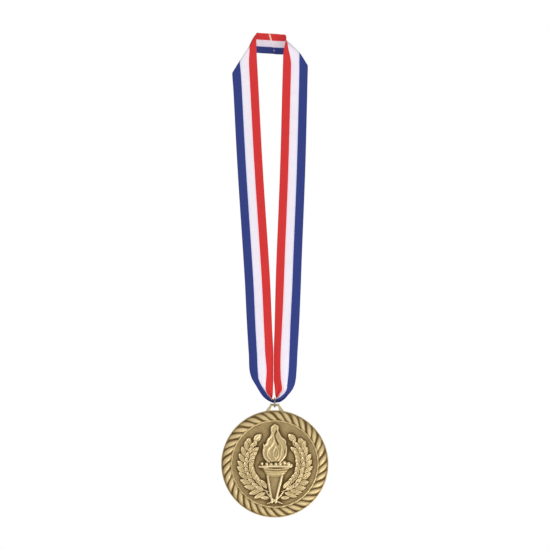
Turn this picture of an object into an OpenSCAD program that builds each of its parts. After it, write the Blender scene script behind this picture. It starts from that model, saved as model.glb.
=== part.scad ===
// Award medal on a three-stripe neck ribbon, hanging as it is worn.
// +Z is up, the front of the medal faces -Y and +X is to the viewer's right.
// The origin is the middle of the neck band, where a neck or a peg carries the loop.

/* [Medal casting] */
// Diameter of the medal
medal_d = 105; // [104:0.5:106]
// Thickness of the rim
rim_t = 4; // [3.5:0.1:4.5]
// Width of the flat rim that carries the rope border
rim_w = 10.5; // [9:0.5:11]
// Depth of the field below the front of the rim
field_depth = 1.2; // [0.8:0.1:1.4]
// Depth of the round recess in the back
recess_depth = 0.5; // [0.3:0.1:0.8]
// Number of rope strands round the border
rope_count = 36; // [30:1:40]
// Angle between a rope strand and the radius
rope_angle = 42; // [35:1:48]
// Height of the rope strands above the rim
rope_h = 1; // [0.6:0.1:1.2]
// Height of the laurel leaves above the field
leaf_h = 1.5; // [1:0.1:2]
// Height of the torch above the field
torch_h = 2.3; // [1.5:0.1:2.6]
// Height of the flame above the field
flame_h = 1.9; // [1.2:0.1:2.2]

/* [Suspension] */
// Diameter of the round bar at the top of the lug
bar_d = 2.5; // [2.3:0.1:2.6]
// Length of the round bar
bar_len = 9.2; // [8.5:0.1:10]
// Width of the lug where it joins the disc
lug_w = 18; // [16:0.5:20]
// Thickness of the lug
lug_t = 2.5; // [2.2:0.1:2.8]
// Inside diameter of the jump ring
ring_in_d = 7.5; // [7.4:0.1:7.6]
// Diameter of the jump ring's wire
wire_d = 1.3; // [1.1:0.1:1.3]
// Running gap between the ring and what hangs in it
ring_gap = 0.05; // [0.02:0.01:0.1]
// Gap where the jump ring is cut
split_gap = 0.15; // [0.1:0.05:0.2]

/* [Ribbon] */
// Width of the ribbon
ribbon_w = 24.5; // [24:0.1:25]
// Thickness of the ribbon
ribbon_t = 0.4; // [0.3:0.05:0.5]
// Height of the neck band above the centre of the jump ring
drop = 351.5; // [345:0.5:355]
// Outward lean of the left strand
lean_l = 3.4; // [3.2:0.1:3.6]
// Outward lean of the right strand
lean_r = 1.9; // [1.7:0.1:2.1]
// Sideways place of the left corner fold
corner_l = -30.1; // [-31:0.1:-29]
// Sideways place of the right corner fold
corner_r = 20.5; // [20:0.1:21.5]
// Radius of the ribbon's corner folds
fold_r = 2; // [1.5:0.1:2.2]
// Radius of the bend between the left corner and the band
bend_l = 11; // [10:0.5:12]
// Radius of the bend between the right corner and the band
bend_r = 8.5; // [7.5:0.5:9]
// Slope of the neck band, down to the right
band_slope = 3.3; // [3:0.1:3.6]
// Seen share of the band's width, which leans forward
band_lean = 0.757; // [0.74:0.001:0.78]
// Radius of the ribbon where it is bunched through the ring
bunch_r = 1.8; // [1.7:0.05:1.85]
// Height of the drape joint above the jump ring
drape_z = 175; // [160:5:190]
// Height of the twist joint above the jump ring
twist_z = 70; // [60:5:80]
// Half of the gap where the ribbon is divided at a joint
joint_gap = 0.4; // [0.3:0.05:0.5]

/* [Hidden] */
$fn = 96;

gold = [0.66, 0.56, 0.35];
ribbon_white = [0.9, 0.88, 0.94];
ribbon_blue = [0.14, 0.17, 0.45];
ribbon_red = [0.82, 0.14, 0.14];

// Depth of the strands' plane: it puts the middle of the band at the origin.
strand_y = -13.4;

// ---- medal, measured from the centre of the jump ring ----
medal_r = medal_d / 2;
ring_r = ring_in_d / 2 + wire_d / 2;
bar_z = -(ring_in_d / 2 - ring_gap - bar_d / 2);
bunch_z = ring_in_d / 2 - ring_gap - bunch_r;
lug_drop = 8.2;
medal_z = -lug_drop + 0.6 - medal_r;
front_y = -rim_t / 2;
field_y = front_y + field_depth;
field_r = medal_r - rim_w;
recess_r = field_r + 3;

// Ring-centred things are drawn at the origin and lowered into place.
module from_ring() {
    translate([0, strand_y, -drop]) children();
}

module from_medal() {
    from_ring() translate([0, 0, medal_z]) children();
}

// A flat shape in X and Z, raised from depth y towards the front.
module relief(y, h) {
    translate([0, y, 0]) rotate([90, 0, 0]) linear_extrude(h) children();
}

// A pointed leaf along +Y of the drawing plane: two arcs that meet at both tips.
module lens(len, wid) {
    arc_r = (len * len + wid * wid) / (4 * wid);
    intersection() {
        translate([arc_r - wid / 2, 0]) circle(arc_r);
        translate([wid / 2 - arc_r, 0]) circle(arc_r);
    }
}

module medal_disc() {
    color(gold) from_medal() difference() {
        rotate([90, 0, 0]) cylinder(r = medal_r, h = rim_t, center = true);
        relief(field_y, field_depth + 1) circle(field_r);
        relief(rim_t / 2 + 1, recess_depth + 1) circle(recess_r);
    }
}

module suspension_lug() {
    bottom = -lug_drop;
    slot_bottom = bottom + 0.4;
    slot_top_w = 6;
    slot_bottom_w = 8.2;
    color(gold) from_ring() difference() {
        union() {
            translate([0, 0, bar_z]) rotate([0, 90, 0]) cylinder(d = bar_d, h = bar_len, center = true);
            relief(lug_t / 2, lug_t) polygon([
                [-bar_len / 2, bar_z], [bar_len / 2, bar_z],
                [lug_w / 2, bottom], [-lug_w / 2, bottom]
            ]);
        }
        difference() {
            relief(lug_t, 2 * lug_t) polygon([
                [-slot_top_w / 2, bar_z], [slot_top_w / 2, bar_z],
                [slot_bottom_w / 2, slot_bottom], [-slot_bottom_w / 2, slot_bottom]
            ]);
            translate([0, 0, bar_z]) rotate([0, 90, 0]) cylinder(d = bar_d, h = lug_w, center = true);
        }
        translate([0, lug_t, medal_z]) rotate([90, 0, 0]) cylinder(r = medal_r, h = 2 * lug_t);
    }
}

module rope_border() {
    strand_len = 11.5;
    strand_w = 4.8;
    color(gold) from_medal() relief(front_y, rope_h) for (i = [0 : rope_count - 1])
        rotate(i * 360 / rope_count) translate([0, medal_r - rim_w / 2 - 0.3])
            rotate(rope_angle) lens(strand_len, strand_w);
}

module torch() {
    neck_z = -0.22 * medal_r;
    foot_z = -0.73 * medal_r;
    neck_w = 0.14 * medal_r;
    foot_w = 0.035 * medal_r;
    cup_w = 0.27 * medal_r;
    cup_z = -0.1 * medal_r;
    brim_h = 0.08 * medal_r;
    brim_w = cup_w - 1;
    color(gold) from_medal() {
        relief(field_y, torch_h * 0.6)
            polygon([[-neck_w, neck_z], [neck_w, neck_z], [foot_w, foot_z], [-foot_w, foot_z]]);
        relief(field_y, torch_h)
            polygon([[-cup_w, cup_z], [cup_w, cup_z], [neck_w, neck_z], [-neck_w, neck_z]]);
        relief(field_y, torch_h * 0.9) {
            translate([-brim_w, cup_z]) square([2 * brim_w, brim_h]);
            for (s = [-1, 1]) translate([s * brim_w, cup_z + brim_h / 2]) circle(d = brim_h);
        }
    }
}

module flame() {
    base_z = -0.02 * medal_r;
    color(gold) from_medal() relief(field_y, flame_h) difference() {
        union() {
            translate([-0.02, 0.34] * medal_r) rotate(-4) lens(0.8 * medal_r, 0.26 * medal_r);
            translate([-0.13, 0.2] * medal_r) rotate(10) lens(0.52 * medal_r, 0.2 * medal_r);
            translate([0.13, 0.22] * medal_r) rotate(-8) lens(0.56 * medal_r, 0.2 * medal_r);
        }
        translate([-medal_r, base_z - medal_r]) square([2 * medal_r, medal_r]);
    }
}

// One branch on the +X side: leaves in pairs along an arc from the foot to the top.
module laurel_branch() {
    branch_r = 0.56 * medal_r;
    pairs = 9;
    foot = 19;
    step = 13.5;
    leaf_len = 9;
    leaf_w = 3.6;
    leaf_tilt = 32;
    leaf_side = 3.4;
    color(gold) from_medal() relief(field_y, leaf_h) {
        for (i = [0 : pairs - 1]) rotate(foot + i * step) translate([0, -branch_r]) {
            translate([0, leaf_side]) rotate(-90 + leaf_tilt) lens(leaf_len, leaf_w);
            translate([0, -leaf_side]) rotate(-90 - leaf_tilt) lens(leaf_len, leaf_w);
        }
        rotate(foot + pairs * step - 4) translate([0, -branch_r]) rotate(-90) lens(leaf_len, leaf_w);
    }
}

module laurel_right() {
    laurel_branch();
}

module laurel_left() {
    mirror([1, 0, 0]) laurel_branch();
}

// The ring stands edge-on in the Y-Z plane and is cut at the back.
module jump_ring() {
    color("silver") from_ring() difference() {
        rotate([0, 90, 0]) rotate_extrude() translate([ring_r, 0]) circle(d = wire_d, $fn = 48);
        translate([-wire_d, 0, -split_gap / 2]) cube([2 * wire_d, 2 * ring_r, split_gap]);
    }
}

// ---- ribbon gathered through the ring ----
module ribbon_bight() {
    color(ribbon_blue) from_ring() translate([0, 0, bunch_z]) rotate([0, 90, 0])
        cylinder(r = bunch_r, h = 2 * bunch_end, center = true);
}

bunch_end = 2.6;
// Stations of one arm: outer edge [x, z], inner edge [x, z] and half of the depth.
gather_l = [
    [[-26.1, twist_z - joint_gap], [-3.8, twist_z - joint_gap], ribbon_t / 2],
    [[-23.6, 29], [-2.4, 29], 0.9],
    [[-17.7, 16.8], [-1.7, 19], 1.4],
    [[-10.6, 5.8], [-1.5, 11.5], 1.7],
    [[-5.9, 1.7], [-1.8, 6.4], bunch_r],
    [[-bunch_end, bunch_z - bunch_r], [-bunch_end, bunch_z + bunch_r], bunch_r]
];
gather_r = [
    [[22.9, twist_z - joint_gap], [1.4, twist_z - joint_gap], ribbon_t / 2],
    [[21.1, 29], [1.4, 29], 0.9],
    [[18.4, 15.6], [1.4, 19], 1.4],
    [[13.1, 7.2], [1.5, 11.5], 1.7],
    [[6.7, 1.9], [1.8, 6.4], bunch_r],
    [[bunch_end, bunch_z - bunch_r], [bunch_end, bunch_z + bunch_r], bunch_r]
];

// Closed skin over rows of points. Each row is a closed ring of the same number of points.
module skin(rows) {
    n = len(rows);
    k = len(rows[0]);
    sides = [for (i = [0 : n - 2]) for (j = [0 : k - 1]) each [
        [i * k + j, i * k + (j + 1) % k, (i + 1) * k + (j + 1) % k],
        [i * k + j, (i + 1) * k + (j + 1) % k, (i + 1) * k + j]
    ]];
    first = [[for (j = [k - 1 : -1 : 0]) j]];
    last = [[for (j = [0 : k - 1]) (n - 1) * k + j]];
    polyhedron(points = [for (r = rows) each r], faces = concat(sides, first, last));
}

function arm_row(s) = [
    [s[0].x, -s[2], s[0].y], [s[1].x, -s[2], s[1].y],
    [s[1].x, s[2], s[1].y], [s[0].x, s[2], s[0].y]
];

function turned(row) = [for (i = [len(row) - 1 : -1 : 0]) row[i]];

module ribbon_gather_left() {
    color(ribbon_blue) from_ring() skin([for (s = gather_l) arm_row(s)]);
}

module ribbon_gather_right() {
    color(ribbon_blue) from_ring() skin([for (s = gather_r) turned(arm_row(s))]);
}

// ---- straight strands ----
// Sideways place of a strand's centreline at height z, for a corner at [x, z].
function strand_x(corner, lean, side, z) = corner.x + side * tan(lean) * (z - corner.y);

module strand(points) {
    relief(ribbon_t / 2, ribbon_t) polygon(points);
}

// The lower strands narrow towards the gather, where the ribbon starts to cup.
module ribbon_lower(corner, lean, side, narrow) {
    top = drape_z - joint_gap;
    mid = strand_x(corner, lean, side, top);
    half = ribbon_w / 2 / cos(lean);
    color(ribbon_white) from_ring() strand([
        [mid - half, top], [mid + half, top],
        [narrow[1], twist_z + joint_gap], [narrow[0], twist_z + joint_gap]
    ]);
}

module ribbon_lower_left() {
    ribbon_lower(start_l, lean_l, -1, [gather_l[0][0].x, gather_l[0][1].x]);
}

module ribbon_lower_right() {
    ribbon_lower(start_r, lean_r, 1, [gather_r[0][1].x, gather_r[0][0].x]);
}

// ---- corner fold and neck band ----
// The ribbon is a flat strip, bent first round an oblique roll and then round a bend into the band.
// Each side is worked out as a left side in the band's own frame; the right side is mirrored.
// A side is [lean from the band's frame, slope sign, corner [x, z], bend radius, straight before the bend].
depth_lean = sqrt(1 - band_lean * band_lean);
rise_dir = [0, band_lean, depth_lean];
width_dir = [0, -depth_lean, band_lean];
across = [1, 0, 0];

function tilt(s) = s[1] * band_slope;
function fold_angle(s) = atan2(cos(s[0]), band_lean - sin(s[0]));
function fold_dir(s) = [cos(fold_angle(s)), 0, sin(fold_angle(s))];
function over_dir(s) = [-sin(fold_angle(s)), 0, cos(fold_angle(s))];
function up_dir(s) = [-sin(s[0]), 0, cos(s[0])];
function wide_dir(s) = [cos(s[0]), 0, sin(s[0])];
function fold_beta(s) = 90 + s[0] - fold_angle(s);
function fold_phi(s) = acos(-tan(fold_beta(s)) / tan(fold_angle(s)));
function band_dir(s) = cos(fold_beta(s)) * fold_dir(s)
    + sin(fold_beta(s)) * (cos(fold_phi(s)) * over_dir(s) + sin(fold_phi(s)) * [0, 1, 0]);
function bend_angle(s) = acos(band_dir(s).x);
function roll_len(s) = fold_r * fold_phi(s) * PI / 180;
// Length along the ribbon at which every thread has passed the roll, and where the bend ends.
function bend_start(s) = s[4]
    + (roll_len(s) + ribbon_w / 2 * abs(wide_dir(s) * over_dir(s))) / (up_dir(s) * over_dir(s));
function bend_end(s) = bend_start(s) + s[3] * bend_angle(s) * PI / 180;

// Point on the rolled strip at u along it, v across it and n in front of it, from the corner.
function rolled(s, u, v, n) =
    let (h = u * (up_dir(s) * over_dir(s)) + v * (wide_dir(s) * over_dir(s)))
    let (e = u * (up_dir(s) * fold_dir(s)) + v * (wide_dir(s) * fold_dir(s)))
    let (g = min(max(h / fold_r * 180 / PI, 0), fold_phi(s)))
    let (rest = h < 0 ? h : max(h - roll_len(s), 0))
    e * fold_dir(s)
    + (fold_r * sin(g) + rest * cos(g) + n * sin(g)) * over_dir(s)
    + (fold_r * (1 - cos(g)) + rest * sin(g) - n * cos(g)) * [0, 1, 0];

function bent(s, u, v, n) =
    let (start = bend_start(s))
    let (turn = min(max((u - start) / s[3] * 180 / PI, 0), bend_angle(s)))
    let (psi = bend_angle(s))
    let (past = max(u - bend_end(s), 0))
    rolled(s, min(u, start), v, u > start ? 0 : n)
    + s[3] * ((sin(psi) - sin(psi - turn)) * across + (cos(psi - turn) - cos(psi)) * rise_dir)
    + past * across
    + (u > start ? n : 0) * (sin(psi - turn) * -across + cos(psi - turn) * rise_dir);

// From the band's frame of a left side to the real place, measured from the jump ring.
function from_band(s, p) = [
    p.x * cos(tilt(s)) + p.z * sin(tilt(s)), p.y, p.z * cos(tilt(s)) - p.x * sin(tilt(s))
];
function to_band(s, p) = [
    p.x * cos(tilt(s)) - p.z * sin(tilt(s)), p.y, p.z * cos(tilt(s)) + p.x * sin(tilt(s))
];
function placed(s, u, v, n) =
    let (p = from_band(s, bent(s, u, v, n)))
    [(s[2].x + p.x), p.y, s[2].y + p.z];

// The left corner is set so that the band has its height over the ring's centre.
left_0 = [lean_l + band_slope, 1, [corner_l, 0], bend_l, 0.3];
band_end_0 = placed(left_0, bend_end(left_0), 0, 0);
start_l = [corner_l, drop - band_end_0.z + tan(band_slope) * (0 - band_end_0.x)];
left = [left_0[0], 1, start_l, bend_l, left_0[4]];
band_l = to_band(left, placed(left, bend_end(left), 0, 0));

// The right corner is set so that its layer lies just in front of the left layer.
layer_gap = ribbon_t + 0.02;
right_0 = [lean_r - band_slope, -1, [-corner_r, start_l.y], bend_r, 0];
band_r0 = to_band(right_0, placed(right_0, bend_end(right_0), 0, 0));
lift_r = (band_l - band_r0) * width_dir / band_lean;
gap_r = (band_l - band_r0) * rise_dir - lift_r * depth_lean - layer_gap;
start_r = [corner_r, start_l.y + lift_r];
right = [right_0[0], -1, [-corner_r, start_r.y], bend_r, gap_r / sin(bend_angle(right_0))];

function mirrored(p) = [-p.x, p.y, p.z];

module ribbon_upper(s, corner, lean, side) {
    bottom = drape_z + joint_gap;
    mid = strand_x(corner, lean, side, bottom);
    half = ribbon_w / 2 / cos(lean);
    edge = [for (v = [-1, 1]) placed(s, roll_start(s, v * ribbon_w / 2), v * ribbon_w / 2, 0)];
    xs = [for (p = edge) -side * p.x];
    color(ribbon_white) from_ring() strand([
        [mid + side * half, bottom], [mid - side * half, bottom],
        [xs[1], edge[1].z], [xs[0], edge[0].z]
    ]);
}

// Length along the ribbon at which the thread at v meets the roll, after h round the roll.
function roll_start(s, v, h = 0) = (h - v * (wide_dir(s) * over_dir(s))) / (up_dir(s) * over_dir(s));

roll_steps = 8;
bend_steps = 8;
columns = [-1, -0.5, 0, 0.5, 1] * ribbon_w / 2;

// Rows along the neck piece: round the roll, across to the bend, round it, and on to the cut end.
function neck_u(s, v, cut, i) =
    i <= roll_steps ? roll_start(s, v, roll_len(s) * i / roll_steps)
    : i <= roll_steps + bend_steps + 1
        ? bend_start(s) + (bend_end(s) - bend_start(s)) * (i - roll_steps - 1) / bend_steps
    : cut;
function neck_row(s, cuts, i) = concat(
    [for (j = [0 : 4]) placed(s, neck_u(s, columns[j], cuts[j], i), columns[j], ribbon_t / 2)],
    [for (j = [4 : -1 : 0]) placed(s, neck_u(s, columns[j], cuts[j], i), columns[j], -ribbon_t / 2)]
);
neck_rows = roll_steps + bend_steps + 2;

// Length along the left or right ribbon that reaches sideways to x in the band.
function reach(s, x) = bend_end(s) + (x - placed(s, bend_end(s), 0, 0).x) / cos(band_slope);

// The hidden end of the left layer is square; the seen end of the right layer is cut on a slant.
lap_left = -1.6;
lap_right = [-1.6, -7.2];
cuts_l = [for (v = columns) reach(left, lap_left)];
cuts_r = [for (v = columns) reach(right, -lap_x(v))];
function lap_x(v) = lap_right[0] + (lap_right[1] - lap_right[0]) * (v / ribbon_w + 0.5);

module ribbon_upper_left() {
    ribbon_upper(left, start_l, lean_l, -1);
}

module ribbon_upper_right() {
    ribbon_upper(right, start_r, lean_r, 1);
}

module ribbon_neck_left() {
    color(ribbon_red) from_ring() skin([for (i = [0 : neck_rows]) neck_row(left, cuts_l, i)]);
}

module ribbon_neck_right() {
    color(ribbon_red) from_ring()
        skin([for (i = [0 : neck_rows]) turned([for (p = neck_row(right, cuts_r, i)) mirrored(p)])]);
}

// The heat-cut end of the right layer, welded down as a thin bead along the slant.
module seam_weld() {
    bead_w = 0.9;
    bead_t = ribbon_t;
    rows = [for (v = [-1, 1]) [for (e = [[0, -1], [bead_w, -1], [bead_w, 1], [0, 1]])
        placed(right, reach(right, -lap_x(v * ribbon_w / 2)) + e[0], v * ribbon_w / 2, e[1] * bead_t / 2)]];
    color("ivory") from_ring() skin([for (r = rows) [for (p = r) mirrored(p)]]);
}

medal_disc();
suspension_lug();
rope_border();
torch();
flame();
laurel_left();
laurel_right();
jump_ring();
ribbon_bight();
ribbon_gather_left();
ribbon_gather_right();
ribbon_lower_left();
ribbon_lower_right();
ribbon_upper_left();
ribbon_upper_right();
ribbon_neck_left();
ribbon_neck_right();
seam_weld();
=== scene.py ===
"""An award medal on a three-stripe neck ribbon, hanging from the band at its neck.

Lengths are millimetres, but metres in the materials' bumps and in the last section, on floor, light
and camera. +X is to the viewer's right, +Y away from the viewer and +Z up. Ribbon points are measured
from the centre of the jump ring, and points of the medal from the medal's centre.
"""
import math

import bmesh
import bpy
import numpy as np
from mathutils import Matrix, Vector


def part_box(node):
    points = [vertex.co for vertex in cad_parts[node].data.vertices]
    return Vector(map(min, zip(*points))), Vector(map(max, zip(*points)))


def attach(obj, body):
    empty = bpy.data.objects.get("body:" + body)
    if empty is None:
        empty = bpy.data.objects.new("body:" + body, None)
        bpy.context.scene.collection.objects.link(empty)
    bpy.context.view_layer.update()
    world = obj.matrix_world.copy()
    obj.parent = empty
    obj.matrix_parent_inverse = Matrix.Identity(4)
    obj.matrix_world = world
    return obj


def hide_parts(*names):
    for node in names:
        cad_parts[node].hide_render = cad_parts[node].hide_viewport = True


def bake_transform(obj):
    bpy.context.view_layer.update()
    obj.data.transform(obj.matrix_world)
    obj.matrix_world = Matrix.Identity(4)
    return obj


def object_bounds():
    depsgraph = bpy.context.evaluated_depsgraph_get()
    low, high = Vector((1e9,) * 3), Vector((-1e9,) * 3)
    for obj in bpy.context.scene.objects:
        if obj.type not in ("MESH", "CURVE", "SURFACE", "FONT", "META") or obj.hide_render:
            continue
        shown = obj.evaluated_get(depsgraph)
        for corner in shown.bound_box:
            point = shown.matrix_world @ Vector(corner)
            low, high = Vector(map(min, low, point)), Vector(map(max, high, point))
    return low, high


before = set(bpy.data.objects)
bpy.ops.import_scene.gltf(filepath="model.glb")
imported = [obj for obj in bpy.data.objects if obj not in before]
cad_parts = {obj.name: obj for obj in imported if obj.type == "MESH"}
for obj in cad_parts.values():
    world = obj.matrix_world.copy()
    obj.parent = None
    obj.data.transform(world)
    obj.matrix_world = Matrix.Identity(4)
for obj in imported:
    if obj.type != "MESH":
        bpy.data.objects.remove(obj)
cad_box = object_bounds()

MM = 0.001
rng = np.random.default_rng(7)


def node_box(node):
    """Lowest and highest corner of a CAD node, in millimetres."""
    low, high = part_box(node)
    return np.array(low) / MM, np.array(high) / MM


ring_low, ring_high = node_box("jump_ring")
RING = (ring_low + ring_high) / 2
disc_low, disc_high = node_box("medal_disc")
MEDAL = (disc_low + disc_high) / 2
MEDAL_R = (disc_high[0] - disc_low[0]) / 2
RIM_T = disc_high[1] - disc_low[1]


# ---- mesh helpers
def smoothstep(t):
    """0 below 0, 1 above 1 and an S-curve between."""
    t = np.clip(t, 0, 1)
    return t * t * (3 - 2 * t)


def spline(knots, values, at):
    """Cubic curve through values at the knots, with finite-difference slopes."""
    values = np.asarray(values, float)
    slopes = np.gradient(values, knots, axis=0)
    i = np.clip(np.searchsorted(knots, at) - 1, 0, len(knots) - 2)
    span = np.diff(knots)[i]
    t = (at - knots[i]) / span
    shape = (-1,) + (1,) * (values.ndim - 1)
    t, span = t.reshape(shape), span.reshape(shape)
    return (
        (2 * t**3 - 3 * t**2 + 1) * values[i]
        + (t**3 - 2 * t**2 + t) * span * slopes[i]
        + (3 * t**2 - 2 * t**3) * values[i + 1]
        + (t**3 - t**2) * span * slopes[i + 1]
    )


def running_length(points):
    """Length along a line of points, at each of them."""
    return np.concatenate([[0], np.cumsum(np.linalg.norm(np.diff(points, axis=0), axis=1))])


def smooth_path(points, step=1.0):
    """A smooth line of points, about step apart, through a few points."""
    knots = running_length(points)
    return spline(knots, points, np.linspace(0, knots[-1], max(3, int(knots[-1] / step) + 1)))


def quads(rows, cols, wrap=False):
    """Vertex indices of a grid's quads; wrap joins its last column to the first."""
    i, j = np.meshgrid(np.arange(rows - 1), np.arange(cols if wrap else cols - 1), indexing="ij")
    k = (j + 1) % cols
    return np.stack([i * cols + j, i * cols + k, (i + 1) * cols + k, (i + 1) * cols + j], -1).reshape(-1, 4)


def unit(vectors):
    return vectors / np.linalg.norm(vectors, axis=-1, keepdims=True)


def add_object(name, data):
    """A new object in the scene."""
    thing = bpy.data.objects.new(name, data)
    bpy.context.scene.collection.objects.link(thing)
    return thing


def make_piece(name, points, faces, origin, flat_faces=0):
    """A mesh object from points in millimetres about origin. Its last flat_faces faces aren't smoothed,
    and the edges round them are sharp."""
    mesh = bpy.data.meshes.new(name)
    mesh.from_pydata(((points + origin) * MM).tolist(), [], [list(map(int, f)) for f in faces])
    smooth = np.ones(len(mesh.polygons), bool)
    if flat_faces:
        smooth[-flat_faces:] = False
    mesh.polygons.foreach_set("use_smooth", smooth)
    mesh.update()
    work = bmesh.new()
    work.from_mesh(mesh)
    bmesh.ops.recalc_face_normals(work, faces=work.faces)
    for edge in work.edges:
        edge.smooth = all(face.smooth for face in edge.link_faces)
    work.to_mesh(mesh)
    work.free()
    return add_object(name, mesh)


def add_attribute(piece, name, values):
    """A value for each vertex, which the materials read by name."""
    layer = piece.data.attributes.new(name, "FLOAT", "POINT")
    layer.data.foreach_set("value", np.asarray(values, np.float32).ravel())


# ---- ribbon as a flat strip
RIBBON_W = 24.5
RIBBON_T = 0.35
# Thickness of the pleated ribbon where the ring squeezes it, and the heights over the ring up to which
# it has that and from which it has its full one.
SQUEEZED_T = 0.12
SQUEEZED_TO = 4.0
FULL_FROM = 26.0
# Half the thickness of the melted end.
WELD_HALF = 0.3
# Where the blue and the white stripe end, from 0 at the blue edge to 1 at the red edge.
BLUE_END = 0.337
WHITE_END = 0.672
# Radius of the oblique roll at each corner, and the step between the band's two layers.
FOLD_R = 2.0
LAYER_GAP = 0.42
# The band's slope down to the right, and the shares of its width that show in height and in depth.
BAND_SLOPE = math.radians(3.3)
BAND_LEAN = 0.774
DEPTH_LEAN = math.sqrt(1 - BAND_LEAN**2)
# Height of the band's middle over the origin.
BAND_LIFT = 0.45
# Height over the ring at which the strand pieces meet the gathered piece.
JOIN_Z = 120.0
# Where the layers of the lap end: the rear one square, the front one at its blue and its red edge.
LAP_LEFT = 4.0
LAP_RIGHT = (0.9, -5.8)
# Directions: along X, straight back, square off the band's sheet and across the band's width.
SIDEWAYS = np.array([1.0, 0, 0])
BACKWARDS = np.array([0, 1.0, 0])
BAND_RISE = np.array([0, BAND_LEAN, DEPTH_LEAN])
BAND_WIDTH = np.array([0, -DEPTH_LEAN, BAND_LEAN])
# Height of the origin, which is the band's place, over the ring's centre.
DROP = -RING[2]


class Side:
    """One side of the loop as an unstretched strip: a strand, an oblique roll at the corner and a bend
    into the neck band. It is worked out as a left side in the band's own frame; the right is mirrored.
    A point is given by u, its length along the strip from the corner, and v across it from the middle.

    side is -1 for left and 1 for right, lean is the strand's outward lean in degrees, corner_x is the
    corner's sideways place, bend_r is the bend's radius, and straight is the flat length before it. rise
    and skew are how far a step along and across the strand goes over the roll's axis."""

    def __init__(self, side, lean, corner_x, bend_r, straight=0.3):
        self.side = side
        self.strand_lean = math.radians(lean)
        self.tilt = -side * BAND_SLOPE
        self.lean = self.strand_lean + self.tilt
        self.bend_r = bend_r
        self.straight = straight
        self.corner = np.array([-side * corner_x, 0.0])
        theta = math.atan2(math.cos(self.lean), BAND_LEAN - math.sin(self.lean))
        beta = math.pi / 2 + self.lean - theta
        self.fold = np.array([math.cos(theta), 0, math.sin(theta)])
        self.over = np.array([-math.sin(theta), 0, math.cos(theta)])
        self.up = np.array([-math.sin(self.lean), 0, math.cos(self.lean)])
        self.wide = np.array([math.cos(self.lean), 0, math.sin(self.lean)])
        self.phi = math.acos(-math.tan(beta) / math.tan(theta))
        rolled = math.cos(self.phi) * self.over + math.sin(self.phi) * BACKWARDS
        self.psi = math.acos((math.cos(beta) * self.fold + math.sin(beta) * rolled)[0])
        self.roll_len = FOLD_R * self.phi
        self.rise = self.up @ self.over
        self.skew = self.wide @ self.over

    def bend_start(self):
        """u at which the bend into the band starts, past the whole roll."""
        return self.straight + (self.roll_len + RIBBON_W / 2 * abs(self.skew)) / self.rise

    def bend_end(self):
        """u at which the bend is done and the band runs straight."""
        return self.bend_start() + self.bend_r * self.psi

    def roll_start(self, v, rolled=0.0):
        """u at which the thread at v has gone rolled millimetres round the roll."""
        return (rolled - v * self.skew) / self.rise

    def place(self, u, v):
        """Points of the strip, from the ring's centre."""
        u, v = np.broadcast_arrays(np.asarray(u, float), np.asarray(v, float))
        start = self.bend_start()
        ub = np.minimum(u, start)
        h = ub * self.rise + v * self.skew
        e = ub * (self.up @ self.fold) + v * (self.wide @ self.fold)
        g = np.clip(h / FOLD_R, 0, self.phi)
        rest = np.where(h < 0, h, np.maximum(h - self.roll_len, 0))
        turn = np.clip((u - start) / self.bend_r, 0, self.psi)
        past = np.maximum(u - self.bend_end(), 0)
        p = (
            e[..., None] * self.fold
            + (FOLD_R * np.sin(g) + rest * np.cos(g))[..., None] * self.over
            + (FOLD_R * (1 - np.cos(g)) + rest * np.sin(g))[..., None] * BACKWARDS
            + (self.bend_r * (math.sin(self.psi) - np.sin(self.psi - turn)) + past)[..., None] * SIDEWAYS
            + (self.bend_r * (np.cos(self.psi - turn) - math.cos(self.psi)))[..., None] * BAND_RISE
        )
        c, s = math.cos(self.tilt), math.sin(self.tilt)
        x = self.corner[0] + p[..., 0] * c + p[..., 2] * s
        z = self.corner[1] + p[..., 2] * c - p[..., 0] * s
        return np.stack([-self.side * x, p[..., 1], z], -1)

    def band_point(self):
        """Where the middle thread ends its bend, in the band's frame."""
        x, y, z = self.place(self.bend_end(), 0)
        x *= -self.side
        c, s = math.cos(self.tilt), math.sin(self.tilt)
        return np.array([x * c - z * s, y, z * c + x * s])

    def reach(self, x):
        """u at which the band gets to sideways place x."""
        end = self.place(self.bend_end(), 0)
        return self.bend_end() + self.side * (end[0] - x) / math.cos(BAND_SLOPE)

    def band_line(self, x, v):
        """Height of the straight band at sideways place x, for the thread at v."""
        end = self.place(np.full_like(v, self.bend_end()), v)
        return end[..., 2] - (x - end[..., 0]) * math.tan(BAND_SLOPE)

    def strand_u(self, z, v):
        """u at which the thread at v has height z."""
        lean = self.strand_lean
        return (z - self.corner[1] - v * math.sin(lean)) / math.cos(lean)


def hang_sides():
    """Both sides, with the left one's band at its height over the ring and the right one's just in front."""
    left = Side(-1, lean=3.4, corner_x=-30.1, bend_r=11.0)
    end = left.place(left.bend_end(), 0)
    left.corner[1] = DROP + BAND_LIFT - end[2] - math.tan(BAND_SLOPE) * end[0]
    right = Side(1, lean=1.9, corner_x=20.5, bend_r=8.5, straight=0.0)
    right.corner[1] = left.corner[1]
    step = left.band_point() - right.band_point()
    lift = step @ BAND_WIDTH / BAND_LEAN
    right.straight = (step @ BAND_RISE - lift * DEPTH_LEAN - LAYER_GAP) / math.sin(right.psi)
    right.corner[1] += lift
    return left, right


# How far the cloth at each corner lies off the ideal roll, at the blue edge, the two stripe
# borders and the red edge: millimetres outwards from the loop and upwards.
CORNER_DRIFT = {
    -1: [(0.1, -4.8), (0.3, -3.0), (-1.5, 1.2), (-0.6, 3.0)],
    1: [(0.1, 6.8), (-0.3, 8.0), (-4.0, 6.8), (2.4, 2.4)],
}
# Lengths below the roll over which the outward and upward drift set in, and the length past it over
# which the outward drift dies away.
OUT_BELOW = 18.0
UP_BELOW = 30.0
DRIFT_PAST = 9.0
# Most that a strand bows outwards, up to this much short of the roll's middle.
STRAND_BOW = 0.6
BOW_STOP = 1e-6
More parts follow.
